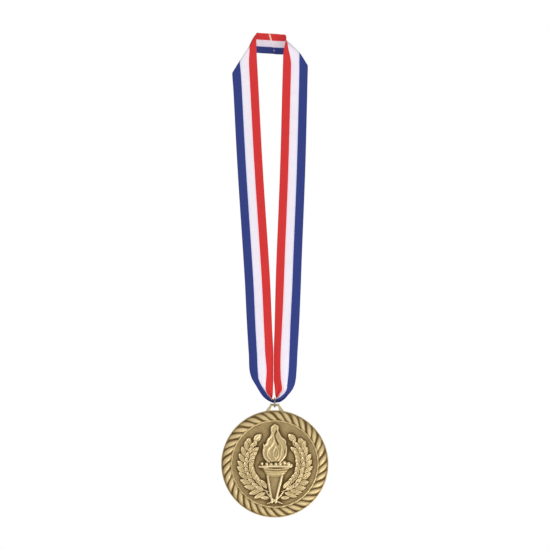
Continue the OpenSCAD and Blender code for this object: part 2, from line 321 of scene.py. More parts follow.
# Sideways place of the strand's inner edge, where the band is straight, and the lengths over which it
# gets there, sideways and past the roll.
BAND_FROM = {-1: -17.9, 1: 8.6}
STRAIGHTEN = 9.0
STRAIGHTEN_PAST = 4.0


def drifted(side, u, v, points):
    """Points near the corner moved by the drift of their thread, the strands bowed a little outwards,
    and the band brought to its straight line soon after the corner."""
    borders = np.array([0, BLUE_END, WHITE_END, 1]) * RIBBON_W - RIBBON_W / 2
    out, up = np.moveaxis(spline(borders, CORNER_DRIFT[side.side], v.ravel()).reshape(v.shape + (2,)), -1, 0)
    off = u - side.roll_start(v, side.roll_len / 2)
    past = smoothstep(off / DRIFT_PAST)
    out = out * np.where(off < 0, smoothstep(1 + off / OUT_BELOW), 1 - past)
    up = up * np.where(off < 0, smoothstep(1 + off / UP_BELOW), 1)
    height = np.clip((points[..., 2] - JOIN_Z) / (side.corner[1] - JOIN_Z), 0, 1)
    bow = STRAND_BOW * np.sin(math.pi * height) ** 2 * (off < -BOW_STOP)
    moved = points.copy()
    moved[..., 0] += side.side * (out + bow)
    moved[..., 2] += up
    inwards = side.side * (BAND_FROM[side.side] - moved[..., 0])
    straight = smoothstep(1 + inwards / STRAIGHTEN) * smoothstep(off / STRAIGHTEN_PAST)
    moved[..., 2] += (side.band_line(moved[..., 0], v) - moved[..., 2]) * straight
    return moved


# Rows of the strand, the roll, the stretch up to the bend, the bend and the band.
UPPER_ROWS = (169, 16, 12, 16, 16)
UPPER_COLUMNS = 33
# Share of the columns' spacing that closes up towards the ribbon's edges.
EDGE_CROWDING = 0.25


def across_columns(count):
    """Places across the ribbon, 0 at the blue edge and 1 at the red edge."""
    even = np.linspace(0, 1, count)
    crowded = (1 - np.cos(even * math.pi)) / 2
    return crowded * EDGE_CROWDING + even * (1 - EDGE_CROWDING)


def upper_surface(side, cut):
    """Grid of the strip from the join up the strand, round the corner and along the band to its cut."""
    across = across_columns(UPPER_COLUMNS)
    v = (across - 0.5) * RIBBON_W
    stops = [side.strand_u(JOIN_Z, v), side.roll_start(v), side.roll_start(v, side.roll_len),
             side.bend_start(), side.bend_end(), cut(across)]
    rows = [stops[0]]
    for low, high, count in zip(stops[:-1], stops[1:], UPPER_ROWS):
        rows += [low + (high - low) * t + 0 * v for t in np.linspace(0, 1, count + 1)[1:]]
    u = np.array(rows)
    v = np.broadcast_to(v, u.shape)
    points = drifted(side, u, v, side.place(u, v))
    return points, np.broadcast_to(across, u.shape), u


# The gathered stretch, from the left strand through the ring to the right strand. Each station is
# the outer (blue) edge x, z; the inner (red) edge x, z; the places of the two stripe borders between
# them; how far the middle bulges forwards; the depth of the pleats; and how far the red edge tucks in.
LEFT_STATIONS = [
    (-26.8, 70, -2.8, 70, 0.341, 0.681, 1.4, 0, 0.2),
    (-25.4, 48, -2.1, 48, 0.345, 0.685, 2.2, 0, 0.6),
    (-24.0, 28.4, -2.5, 28.4, 0.355, 0.736, 2.6, 0.05, 1.0),
    (-22.2, 23.1, -2.5, 21.2, 0.335, 0.69, 2.6, 0.15, 1.0),
    (-18.5, 16.8, -2.2, 16.3, 0.345, 0.59, 2.4, 0.35, 0.5),
    (-14.7, 10.4, -1.9, 11.4, 0.42, 0.50, 1.8, 0.8, 0.1),
    (-11.2, 5.6, -2.0, 7.5, 0.53, 0.60, 1.0, 1.3, 0),
    (-6.0, 1.6, -2.6, 3.9, 0.75, 0.83, 0.3, 1.6, 0),
    (-2.3, -0.1, -2.0, 3.6, 0.72, 0.8, 0, 1.6, 0),
]
RIGHT_STATIONS = [
    (23.4, 70, 0.0, 70, 0.361, 0.704, 1.4, 0, 0.2),
    (22.1, 48, -0.3, 48, 0.351, 0.727, 2.2, 0, 0.6),
    (21.1, 29.5, 0.0, 29, 0.368, 0.726, 2.6, 0.05, 0.9),
    (20.4, 22.5, -0.1, 22, 0.377, 0.693, 2.6, 0.15, 0.8),
    (19.2, 17, 0.1, 17, 0.373, 0.639, 2.4, 0.3, 0.4),
    (16.9, 12.2, 0.1, 12.5, 0.33, 0.58, 1.9, 0.6, 0.1),
    (12.9, 7.2, 0.3, 9, 0.36, 0.66, 1.3, 1.0, 0),
    (8.8, 2.8, 0.6, 6.5, 0.5, 0.75, 0.7, 1.4, 0),
    (4.7, 0.4, 1.2, 5.2, 0.69, 0.81, 0.2, 1.6, 0),
    (1.6, 0, 1.3, 3.6, 0.82, 0.92, 0, 1.6, 0),
]
GATHER_COLUMNS = 65
PLEATS = 4
# The red edge tucks in from this place across the ribbon, and goes back this many times as far.
TUCK_FROM = 0.93
TUCK_DEPTH = 1.2
# Height below the join over which the bulge, the pleats and the tuck set in.
JOIN_EASE = 45.0
# Rows in a millimetre of ribbon, up the strands and in addition near the ring.
ROW_DENSITY = 0.9
ROW_DENSITY_AT_RING = 2.2


def strand_station(side, z):
    """A station on a straight strand."""
    outer, inner = (side.place(side.strand_u(z, v), v) for v in (-RIBBON_W / 2, RIBBON_W / 2))
    return (outer[0], outer[2], inner[0], inner[2], BLUE_END, WHITE_END, 0, 0, 0)


def section(station, across):
    """Points of the gathered ribbon across one station."""
    outer_x, outer_z, inner_x, inner_z, blue_end, white_end = station[:6]
    eased = smoothstep((JOIN_Z - (outer_z + inner_z) / 2) / JOIN_EASE)
    bulge, pleat, tuck = station[6:] * eased
    share = np.interp(across, [0, BLUE_END, WHITE_END, 1], [0, blue_end, white_end, 1])
    belly = 1 - (2 * share - 1) ** 2
    tucked = smoothstep((across - TUCK_FROM) / (1 - TUCK_FROM)) * tuck
    wave = -np.cos(2 * math.pi * PLEATS * across) * pleat * np.sqrt(belly + 0.01)
    x = outer_x + (inner_x - outer_x) * share + tucked * np.sign(inner_x - outer_x)
    z = outer_z + (inner_z - outer_z) * share
    return np.stack([x, wave - bulge * belly + tucked * TUCK_DEPTH, z], -1)


def gathered_surface(left, right):
    """Grid of the strip from the join on the left, through the ring, to the join on the right."""
    stations = np.array(
        [strand_station(left, z) for z in (JOIN_Z + 20, JOIN_Z)] + LEFT_STATIONS
        + RIGHT_STATIONS[::-1] + [strand_station(right, z) for z in (JOIN_Z, JOIN_Z + 20)]
    )
    middles = (stations[:, 0:2] + stations[:, 2:4]) / 2
    knots = running_length(middles)
    first, last = knots[1], knots[-2]
    fine = np.linspace(first, last, 4000)
    height = spline(knots, middles, fine)[:, 1]
    density = ROW_DENSITY + ROW_DENSITY_AT_RING * smoothstep(1 - (height - 2) / 30)
    count = np.concatenate([[0], np.cumsum((density[1:] + density[:-1]) / 2 * np.diff(fine))])
    at = np.interp(np.linspace(0, count[-1], int(count[-1]) + 1), count, fine)
    across = np.linspace(0, 1, GATHER_COLUMNS)
    points = np.array([section(station, across) for station in spline(knots, stations, at)])
    # The first and last row lie straight, to meet the strand pieces.
    for row, station in ((0, stations[1]), (-1, stations[-2])):
        x = np.interp(across, [0, 1], station[[0, 2]])
        points[row] = np.stack([x, 0 * across, 0 * across + JOIN_Z], -1)
    along = running_length(points[:, len(across) // 2])
    along *= (last - first) / along[-1]
    shape = points.shape[:2]
    return points, np.broadcast_to(across, shape), np.broadcast_to(along[:, None], shape)


def ribbon_piece(name, surface, thickness):
    """A closed sheet with bevelled selvedges about a grid of points; thickness may vary by row."""
    points, across, along = surface
    rows, cols = across.shape
    du, dv = np.gradient(points, axis=(0, 1))
    half = np.reshape(thickness, (-1, 1, 1)) / 2
    rise, reach = unit(np.cross(dv, du)) * half, unit(dv) * half
    loop = np.concatenate([
        points + rise, points[:, -1:] + reach[:, -1:],
        (points - rise)[:, ::-1], points[:, :1] - reach[:, :1],
    ], axis=1)
    width = loop.shape[1]
    faces = quads(rows, width, wrap=True).tolist()
    caps = []
    for row, flip in ((0, 1), (rows - 1, -1)):
        base = row * width
        for j in range(cols - 1):
            caps.append([base + j, base + j + 1, base + 2 * cols - 1 - j, base + 2 * cols - j][::flip])
        caps.append([base + cols - 1, base + cols, base + cols + 1][::flip])
        caps.append([base, base + 2 * cols, base + 2 * cols + 1][::flip])
    piece = make_piece(name, loop.reshape(-1, 3), faces + caps, RING, flat_faces=len(caps))

    def looped(field):
        return np.concatenate([field, field[:, -1:], field[:, ::-1], field[:, :1]], axis=1)

    add_attribute(piece, "across", looped(across))
    add_attribute(piece, "along", looped(along))
    return piece


# ---- relief of the medal
# Radii and depths of the sunk field in front and of the recess at the back.
FIELD_R = MEDAL_R - 10.5
RECESS_R = FIELD_R + 3
RECESS_DEPTH = 0.5
FRONT_Y = -RIM_T / 2
BACK_Y = RIM_T / 2
FIELD_Y = FRONT_Y + 1.2
# Foot of the wall round the field, and the edge and back of the relief's plate, sunk behind that wall.
WALL_R = FIELD_R - 0.6
PLATE_R = FIELD_R + 0.3
PLATE_BACK_Y = FIELD_Y + 0.5
# Size of a cell of the relief's raster, and the most that the cast surface ripples.
CELL = 0.27
RIPPLE = 0.05
# Darkness of the plating on the flat field, from 0, rubbed bright, to 1, brown.
FIELD_TONE = 0.62
# The drawing's own unit is the medal's radius.
R = MEDAL_R


def blurred(height, sigma):
    """Gaussian blur of a square raster, sigma in cells."""
    freq = np.fft.fftfreq(height.shape[0])
    gain = np.exp(-2 * (math.pi * sigma * freq) ** 2)
    return np.real(np.fft.ifft2(np.fft.fft2(height) * gain[:, None] * gain[None, :]))


def near_share(height, reach, share):
    """How far a point lies under the average within reach millimetres, times share."""
    return (blurred(height, reach / CELL) - height) * share


class Relief:
    """A raster of heights above the medal's field, drawn with strokes, leaves, beads and fills."""

    def __init__(self):
        self.axis = np.arange(-PLATE_R - 4 * CELL, PLATE_R + 4 * CELL, CELL)
        self.x, self.z = np.meshgrid(self.axis, self.axis)
        self.height = np.zeros_like(self.x)

    def window(self, points, margin):
        """The part of the raster round some points."""
        low, high = np.min(points, axis=0) - margin, np.max(points, axis=0) + margin
        i0, i1 = np.searchsorted(self.axis, (low[1], high[1]))
        j0, j1 = np.searchsorted(self.axis, (low[0], high[0]))
        return slice(i0, i1), slice(j0, j1)

    def raise_to(self, at, height):
        self.height[at] = np.maximum(self.height[at], height)

    def nearness(self, at, line, widths):
        """Distance from a line of points, as a share of the line's half-width there."""
        x, z = self.x[at], self.z[at]
        nearest = np.full(x.shape, 9.0)
        for (ax, az), (bx, bz), wa, wb in zip(line[:-1], line[1:], widths[:-1], widths[1:]):
            dx, dz = bx - ax, bz - az
            t = np.clip(((x - ax) * dx + (z - az) * dz) / max(dx * dx + dz * dz, 1e-9), 0, 1)
            gap = np.hypot(x - ax - t * dx, z - az - t * dz) / (wa + (wb - wa) * t)
            nearest = np.minimum(nearest, gap)
        return nearest

    def stroke(self, points, width, height, ends=(0.35, 0.35)):
        """A rounded raised line of half-width width, narrowing to the given share at its ends."""
        line = smooth_path(np.array(points) * R)
        t = np.linspace(0, 1, len(line))
        taper = np.minimum(1, np.minimum(ends[0] + t * 5, ends[1] + (1 - t) * 5))
        at = self.window(line, width + 1)
        near = self.nearness(at, line, width * taper)
        crest = height * np.sqrt(np.clip(1 - near**2, 0, 1))
        self.raise_to(at, np.where(near < 1, crest, 0))

    def groove(self, points, width, depth):
        """A rounded cut along a line, no deeper than the field."""
        line = smooth_path(np.array(points) * R)
        at = self.window(line, width + 1)
        near = self.nearness(at, line, np.full(len(line), width))
        cut = depth * np.clip(1 - near**2, 0, 1)
        self.height[at] = np.maximum(self.height[at] - cut, 0)

    def fill(self, outline, height, edge, crown=0.0):
        """A raised patch inside a smooth closed outline, rounded over edge millimetres at its rim."""
        loop = np.array(list(outline) + [outline[0]], float) * R
        at = self.window(loop, 1)
        x, z = self.x[at], self.z[at]
        inside = np.zeros(x.shape, bool)
        for (ax, az), (bx, bz) in zip(loop[:-1], loop[1:]):
            crosses = (az > z) != (bz > z)
            inside ^= crosses & (x < (bx - ax) * (z - az) / (bz - az + 1e-12) + ax)
        near = self.nearness(at, loop, np.ones(len(loop)))
        rise = smoothstep(near / edge) * height + crown * smoothstep(near / (4 * edge))
        self.raise_to(at, np.where(inside, rise, 0))

    def bead(self, centre, radius, height):
        """A raised round dot."""
        centre = np.array(centre) * R
        at = self.window([centre], radius + 1)
        near = np.hypot(self.x[at] - centre[0], self.z[at] - centre[1]) / radius
        self.raise_to(at, np.where(near < 1, height * np.sqrt(np.clip(1 - near**2, 0, 1)), 0))

    def leaf(self, foot, angle, length, width, height):
        """A leaf from foot along angle, with a raised outline, a hollow face and a midrib."""
        foot = np.array(foot) * R
        tip = foot + length * np.array([math.cos(angle), math.sin(angle)])
        at = self.window([foot, tip], width)
        x, z = self.x[at] - foot[0], self.z[at] - foot[1]
        along = (x * math.cos(angle) + z * math.sin(angle)) / length
        off = np.abs(z * math.cos(angle) - x * math.sin(angle))
        half = width / 2 * np.sin(math.pi * np.clip(along, 0, 1) ** 0.9) ** 0.7 + 1e-6
        inside = (along > 0) & (along < 1) & (off < half)
        to_edge = np.minimum(half - off, np.minimum(along, 1 - along) * length)
        wall = smoothstep(to_edge / 0.55)
        outline = np.exp(-(((to_edge - 0.75) / 0.42) ** 2))
        rib = np.exp(-((off / 0.38) ** 2)) * (to_edge > 0.6)
        hollow = 0.5 + 0.12 * np.clip(to_edge / 2, 0, 1)
        face = height * wall * (hollow + 0.5 * np.maximum(outline, 0.55 * rib))
        under = self.height[at]
        self.height[at] = np.where(inside, np.maximum(face, 0.35 * under), under)


def draw_torch(relief):
    """A ridged handle, a grooved bowl with its brim, and a row of coals."""
    handle = [(-0.15, -0.21), (0.15, -0.21), (0.03, -0.735), (-0.065, -0.735)]
    relief.fill(handle, 0.5, 1.0)
    relief.stroke([(-0.135, -0.22), (-0.115, -0.35), (-0.085, -0.52), (-0.05, -0.725)], 1.5, 1.9, (1, 0.7))
    relief.stroke([(0.135, -0.22), (0.105, -0.35), (0.06, -0.52), (0.015, -0.725)], 1.6, 1.9, (1, 0.7))
    relief.stroke([(-0.14, -0.37), (-0.085, -0.375)], 1.1, 2.0)
    relief.stroke([(0.07, -0.375), (0.125, -0.37)], 1.1, 2.0)
    bowl = [(-0.26, -0.07), (-0.215, -0.13), (-0.18, -0.19), (-0.155, -0.235), (-0.05, -0.25),
            (0.07, -0.25), (0.165, -0.235), (0.2, -0.19), (0.25, -0.13), (0.3, -0.07)]
    relief.fill(bowl, 1.1, 1.6, crown=0.5)
    for level, reach in ((-0.115, 0.2), (-0.155, 0.175), (-0.2, 0.15)):
        relief.groove([(-reach, level), (0.02, level - 0.012), (reach + 0.04, level)], 0.55, 0.4)
    relief.stroke([(-0.275, -0.055), (-0.1, -0.045), (0.1, -0.045), (0.31, -0.05)], 1.7, 2.3, (0.6, 0.8))
    relief.stroke([(-0.2, -0.085), (0.02, -0.1), (0.26, -0.085)], 0.8, 2.2, (0.5, 0.5))
    relief.bead((-0.24, 0.008), 1.9, 2.2)
    relief.bead((-0.285, -0.05), 1.6, 1.9)
    for x, z, size in ((0.255, -0.005, 2.6), (0.305, -0.03, 2.2), (0.18, 0.02, 2.4), (0.1, 0.0, 2.4),
                       (0.02, -0.005, 2.2), (-0.07, -0.01, 2.2), (-0.15, 0.0, 2.0)):
        relief.bead((x, z), size, 2.1)


def draw_flame(relief):
    """A body with tongues drawn on it, by half-width, height and points, and a drop in its middle."""
    body = [(-0.13, 0.02), (-0.205, 0.12), (-0.22, 0.24), (-0.2, 0.32), (-0.14, 0.43), (-0.09, 0.47),
            (-0.07, 0.6), (-0.05, 0.69), (0.0, 0.74), (0.05, 0.7), (0.085, 0.6), (0.12, 0.51), (0.2, 0.43),
            (0.215, 0.34), (0.2, 0.24), (0.19, 0.14), (0.14, 0.03)]
    relief.fill(body, 1.2, 1.6)
    for width, height, *line in (
        (1.25, 1.9, (-0.1, 0.03), (-0.19, 0.12), (-0.213, 0.23), (-0.2, 0.31), (-0.215, 0.38)),
        (1.5, 1.8, (-0.2, 0.33), (-0.15, 0.37), (-0.12, 0.45), (-0.065, 0.52), (-0.05, 0.6)),
        (1.45, 1.95, (-0.055, 0.05), (-0.134, 0.16), (-0.125, 0.26), (-0.05, 0.35), (-0.012, 0.45),
         (-0.03, 0.54), (-0.06, 0.62), (-0.05, 0.69), (0.0, 0.735)),
        (1.25, 1.8, (0.0, 0.735), (0.055, 0.69), (0.05, 0.62), (0.08, 0.56), (0.11, 0.5), (0.19, 0.43),
         (0.2, 0.35)),
        (1.25, 1.9, (0.205, 0.36), (0.212, 0.27), (0.2, 0.17), (0.15, 0.09), (0.09, 0.03)),
        (1.2, 1.8, (0.1, 0.4), (0.13, 0.33), (0.12, 0.23), (0.1, 0.12), (0.05, 0.04)),
        (1.2, 1.6, (-0.01, 0.56), (0.03, 0.46), (0.09, 0.4)),
        (1.0, 1.5, (-0.09, 0.42), (-0.065, 0.34), (-0.1, 0.28), (-0.09, 0.17)),
    ):
        relief.stroke(line, width, height, (0.5, 0.4))
    teardrop = [(0.018, 0.09), (-0.025, 0.15), (-0.03, 0.22), (0.0, 0.29), (0.02, 0.34)]
    relief.stroke(teardrop, 1.0, 1.85, (0.6, 0.5))
    relief.stroke([(0.04 - x, z) for x, z in teardrop], 1.0, 1.85, (0.6, 0.5))
    relief.stroke([(0.016, 0.07), (0.016, 0.16), (0.025, 0.24)], 0.8, 1.5)
    relief.groove([(0.03, 0.62), (0.0, 0.53), (0.035, 0.43), (0.06, 0.36)], 0.9, 0.9)


def on_branch(side, radius, degrees):
    """A point of the medal at a radius (share of R) and at degrees round from the bottom."""
    angle = math.radians(degrees)
    return np.array([side * radius * math.sin(angle), -radius * math.cos(angle)])


# Degrees round from the bottom to the first leaves of a laurel branch, degrees between leaves, and
# how many times they come.
FIRST_LEAVES = 18.0
LEAF_STEP = 10.8
LEAF_COUNT = 10


def draw_laurel(relief, side):
    """A branch of leaves in threes over an under-layer, from crossed stems at the bottom up one side.
    The lowest leaves are the longest, and spread the most."""

    def leaf(radius, turn, spread, length, width, height):
        angle = math.radians(turn) - spread
        angle = angle if side > 0 else math.pi - angle
        relief.leaf(on_branch(side, radius, turn), angle, length, width, height)

    relief.stroke([on_branch(side, 0.53, a) for a in range(14, 136, 9)], 0.8, 1.3, (0.9, 0.5))
    leaf(0.575, 137, 0.02, 10.6, 7.0, 2.0)
    leaf(0.525, 126, 0.05, 9.0, 5.2, 1.8)
    leaf(0.625, 121, 0.2, 9.6, 5.6, 1.8)
    for i in reversed(range(LEAF_COUNT)):
        turn = FIRST_LEAVES + (i + 0.5) * LEAF_STEP
        low = max(0, 1 - turn / 70)
        leaf(0.56, turn, 0.42 + 0.4 * low + rng.uniform(-0.1, 0.1), 11 + 3.5 * low, 4.6, 1.2)
    for i in reversed(range(LEAF_COUNT)):
        turn = FIRST_LEAVES + i * LEAF_STEP
        low = max(0, 1 - turn / 60)
        length = (11.6 - 0.12 * i) * rng.uniform(0.93, 1.07)
        sway = rng.uniform(-0.12, 0.12, 3)
        leaf(0.575 - 0.02 * low, turn, 0.56 + 0.25 * low + sway[0], length * (1 + 0.2 * low), 5.2, 1.6)
        leaf(0.485, turn, sway[1] - 0.60, length * 0.92, 5.2, 1.8)
        leaf(0.53, turn + 4, sway[2], length * 0.88, 4.8, 2.0)
    tail = [on_branch(-side, 0.755, 11), on_branch(-side, 0.70, 3),
            on_branch(side, 0.62, 8), on_branch(side, 0.54, 18)]
    relief.stroke(tail, 0.95, 1.9, (0.9, 0.6))
    leaf(0.64, 9, 0.15, 9.5, 4.4, 1.6)


def boundary(faces):
    """The vertices round the one open edge of a patch of quads, in order."""
    edges = np.concatenate([faces[:, [a, (a + 1) % 4]] for a in range(4)])
    edges = dict.fromkeys(map(tuple, edges.tolist()))
    following = dict((a, b) for a, b in edges if (b, a) not in edges)
    loop = [next(iter(following))]
    while following[loop[-1]] != loop[0]:
        loop.append(following[loop[-1]])
    return loop


def drawn_relief():
    """The raster with its final heights, and the tone of the plating: darker in narrow hollows and
    near tall relief, brighter on top."""
    relief = Relief()
    for side in (-1, 1):
        draw_laurel(relief, side)
    draw_flame(relief)
    draw_torch(relief)
    ripple = blurred(rng.normal(size=relief.height.shape), 5)
    height = blurred(relief.height, 0.8) + RIPPLE * ripple / np.abs(ripple).max()
    height = np.where(np.hypot(relief.x, relief.z) < WALL_R - 0.4, height, 0)
    tone = FIELD_TONE + near_share(height, 1.8, 0.2) + near_share(height, 0.7, 0.36) - 0.33 * height
    return relief, height, tone + 0.2 * blurred(height, 3.5 / CELL)


def medal_relief():
    """The torch, flame and laurels on their field, as a closed plate sunk into the casting."""
    relief, height, tone = drawn_relief()
    used = np.hypot(relief.x, relief.z) <= PLATE_R
    rows, cols = used.shape
    cell = used[:-1, :-1] & used[1:, :-1] & used[:-1, 1:] & used[1:, 1:]
    top = quads(rows, cols)[cell.ravel()]
    kept = np.unique(top)
    index = np.full(rows * cols, -1)
    index[kept] = np.arange(len(kept))
    x, z, height, tone = (field.ravel()[kept] for field in (relief.x, relief.z, height, tone))
    front = np.stack([x, FIELD_Y - height, z], -1)
    back = np.stack([x, np.full_like(x, PLATE_BACK_Y), z], -1)
    top = index[top]
    loop = boundary(top)
    below = [len(kept) + i for i in range(len(loop))]
    walls = [[loop[i], loop[i - 1], below[i - 1], below[i]] for i in range(len(loop))]
    points = np.concatenate([front, back[loop]])
    piece = make_piece("medal_relief", points, top.tolist() + walls + [below], MEDAL, len(walls) + 1)
    add_attribute(piece, "tone", np.concatenate([tone, np.zeros(len(loop))]))
    return piece


# The rope border: its strands, their slant, and its edges.
ROPE_COUNT = 36
ROPE_ANGLE = math.radians(42)
ROPE_INNER = WALL_R + 1.5
ROPE_OUTER = MEDAL_R - 0.7
# Where a strand is widest, from -1 at the rope's inner edge to 1 at its outer edge.
ROPE_CREST = -0.3
# Radius of the disc's outer edges.
ROUND_EDGE = 0.45


def rope_height(radius, angle):
    """Height of the rope border above the rim: one lobe for each twisted strand."""
    middle = (ROPE_INNER + ROPE_OUTER) / 2
    span = (radius - middle) / (ROPE_OUTER - ROPE_INNER) * 2
    bend = math.tan(ROPE_ANGLE) * (radius - middle) / middle * (1 + 0.25 * np.clip(span, -1, 1) ** 2)
    strand = ROPE_COUNT * (angle - bend) / (2 * math.pi)
    uneven = 0.05 * np.sin(3.1 * (np.floor(strand) % ROPE_COUNT) + 1)
    off = np.abs(strand - np.floor(strand) - 0.5 + uneven) * 2
    from_crest = span - ROPE_CREST
    share = np.where(from_crest > 0, from_crest / (1 - ROPE_CREST), -from_crest / (1 + ROPE_CREST))
    lens = np.clip(1 - share**2.4, 0, 1) ** 0.55
    lobe = np.clip(1 - (off / (0.5 + 0.4 * lens)) ** 2, 0, 1) ** 0.6
    return (0.05 + 1.45 * lens * lobe) * (np.abs(span) < 1)


def casting_profile():
    """Radius and depth of the disc's section, from the hub of its sunk front round to that of its back."""
    hub = 0.05
    floor_y = BACK_Y - RECESS_DEPTH
    edge_r = MEDAL_R - ROUND_EDGE
    profile = [(hub, PLATE_BACK_Y), (WALL_R - 0.4, PLATE_BACK_Y), (WALL_R - 0.1, FIELD_Y),
               (WALL_R + 0.05, FRONT_Y + 0.25), (WALL_R + 0.15, FRONT_Y + 0.05)]
    profile += [(r, FRONT_Y) for r in np.linspace(WALL_R + 0.35, edge_r - 0.05, 40)]
    for centre_y, first in ((FRONT_Y + ROUND_EDGE, 90), (BACK_Y - ROUND_EDGE, 0)):
        for step in range(5):
            a = math.radians(first - 22.5 * step)
            profile.append((edge_r + ROUND_EDGE * math.cos(a), centre_y - ROUND_EDGE * math.sin(a)))
    profile += [(RECESS_R + 0.3, BACK_Y), (RECESS_R + 0.05, BACK_Y - 0.1), (RECESS_R - 0.1, floor_y + 0.05)]
    profile += [(r, floor_y) for r in (RECESS_R - 0.5, RECESS_R - 1.5, RECESS_R - 4, RECESS_R / 2, hub)]
    return profile


def medal_casting():
    """The disc, its rim with the rope border, its rounded edge and its recessed back."""
    around = ROPE_COUNT * 34
    angle = np.arange(around) / around * 2 * math.pi
    radius, depth = np.array(casting_profile()).T
    angle, radius = np.meshgrid(angle, radius)
    depth = depth[:, None] + 0 * angle
    front = depth == FRONT_Y
    scallop = np.cos(ROPE_COUNT * angle)
    lip = (0.85 + 0.2 * scallop) * np.exp(-(((radius - WALL_R - 0.75 - 0.15 * scallop) / 0.58) ** 2))
    lip = lip * front
    height = rope_height(radius, angle) * front + lip
    points = np.stack([radius * np.cos(angle), depth - height, radius * np.sin(angle)], -1)
    rows = len(points)
    hubs = [list(range(around)), list(range((rows - 1) * around, rows * around))[::-1]]
    faces = quads(rows, around, wrap=True).tolist() + hubs
    piece = make_piece("medal_casting", points.reshape(-1, 3), faces, MEDAL, len(hubs))
    on_rope = front & (radius > ROPE_INNER) & (radius < ROPE_OUTER)
    tone = np.where(on_rope, 0.9 - 0.42 * height, 0.4 - 0.3 * lip)
    in_recess = (depth > 0) & (radius < RECESS_R)
    tone = np.where(in_recess, 0.5 + 0.5 * np.exp((radius - RECESS_R) / 1.3), tone)
    add_attribute(piece, "tone", tone)
    return piece


def bevelled_copy(node, name, width):
    """A copy of a CAD node with its edges rounded."""
    piece = add_object(name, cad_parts[node].data.copy())
    for kind, settings in (
        ("WELD", {"merge_threshold": 1e-6}),
        ("DECIMATE", {"decimate_type": "DISSOLVE", "angle_limit": math.radians(3)}),
        ("BEVEL", {"width": width * MM, "segments": 3, "angle_limit": math.radians(35)}),
    ):
        modifier = piece.modifiers.new(kind, kind)
        for key, value in settings.items():
            setattr(modifier, key, value)
    graph = bpy.context.evaluated_depsgraph_get()
    mesh = bpy.data.meshes.new_from_object(piece.evaluated_get(graph))
    piece.modifiers.clear()
    piece.data = mesh
    mesh.polygons.foreach_set("use_smooth", np.ones(len(mesh.polygons), bool))
    return piece


# ---- materials
def linear(*srgb):
    """A colour given as 0 to 255 sRGB, as linear values with alpha."""
    out = []
    for c in srgb:
        c /= 255
        out.append(c / 12.92 if c <= 0.04045 else ((c + 0.055) / 1.055) ** 2.4)
    return (*out, 1.0)


def grey(value):
    return (value, value, value, 1.0)


class Nodes:
    """Shorthand for building the node tree of a material or a world."""

    def __init__(self, owner):
        self.owner = owner
        owner.use_nodes = True
        self.tree = owner.node_tree

    def put(self, socket, value):
        """Link a socket to another's output, or set its value."""
        if hasattr(value, "links"):
            self.tree.links.new(value, socket)
        else:
            socket.default_value = value

    def fill(self, node, inputs):
        for key, value in inputs.items():
            self.put(node.inputs[key], value)

    def add(self, kind, inputs, **settings):
        node = self.tree.nodes.new(kind)
        for key, value in settings.items():
            setattr(node, key, value)
        self.fill(node, inputs)
        return node

    def surface(self, **inputs):
        """Fill in the surface's inputs, named with _ for spaces, and hand over the material."""
        named = {key.replace("_", " "): value for key, value in inputs.items()}
        self.fill(self.tree.nodes["Principled BSDF"], named)
        return self.owner

    def math(self, operation, a, b=0.0, c=0.0):
        return self.add("ShaderNodeMath", {0: a, 1: b, 2: c}, operation=operation).outputs[0]

    def scaled(self, value, factor, offset):
        return self.math("MULTIPLY_ADD", value, factor, offset)

    def attribute(self, name):
        return self.add("ShaderNodeAttribute", {}, attribute_name=name).outputs["Fac"]

    def noise(self, scale, detail=3.0):
        """Noise over the piece's own coordinates."""
        place = self.add("ShaderNodeTexCoord", {}).outputs["Object"]
        node = self.add("ShaderNodeTexNoise", {"Scale": scale, "Detail": detail, "Vector": place})
        return node.outputs["Fac"]

    def ramp(self, factor, stops):
        node = self.add("ShaderNodeValToRGB", {"Fac": factor})
        points = node.color_ramp.elements
        while len(points) < len(stops):
            points.new(0.5)
        for point, (position, colour) in zip(points, stops):
            point.position = position
            point.color = colour
        return node.outputs["Color"]

    def multiplied(self, colour, value):
        tint = self.add("ShaderNodeCombineColor", {0: value, 1: value, 2: value}).outputs[0]
        node = self.add("ShaderNodeMix", {0: 1.0, 6: colour, 7: tint},
                        data_type="RGBA", blend_type="MULTIPLY")
        return node.outputs[2]

    def bump(self, height, strength, distance, **normal):
        inputs = {"Height": height, "Strength": strength, "Distance": distance}
        return self.add("ShaderNodeBump", {**inputs, **normal}).outputs["Normal"]


def new_material(name):
    return Nodes(bpy.data.materials.new(name))


BLUE = linear(38, 54, 128)
WHITE = linear(243, 236, 246)
RED = linear(214, 42, 42)
# Half the width of the soft edge between stripes, as a share of the ribbon's width.
STRIPE_BLUR = 0.006
# Distance between the weave's cross ribs and between its lengthwise threads.
RIB_STEP = 0.62
THREAD_STEP = 0.36


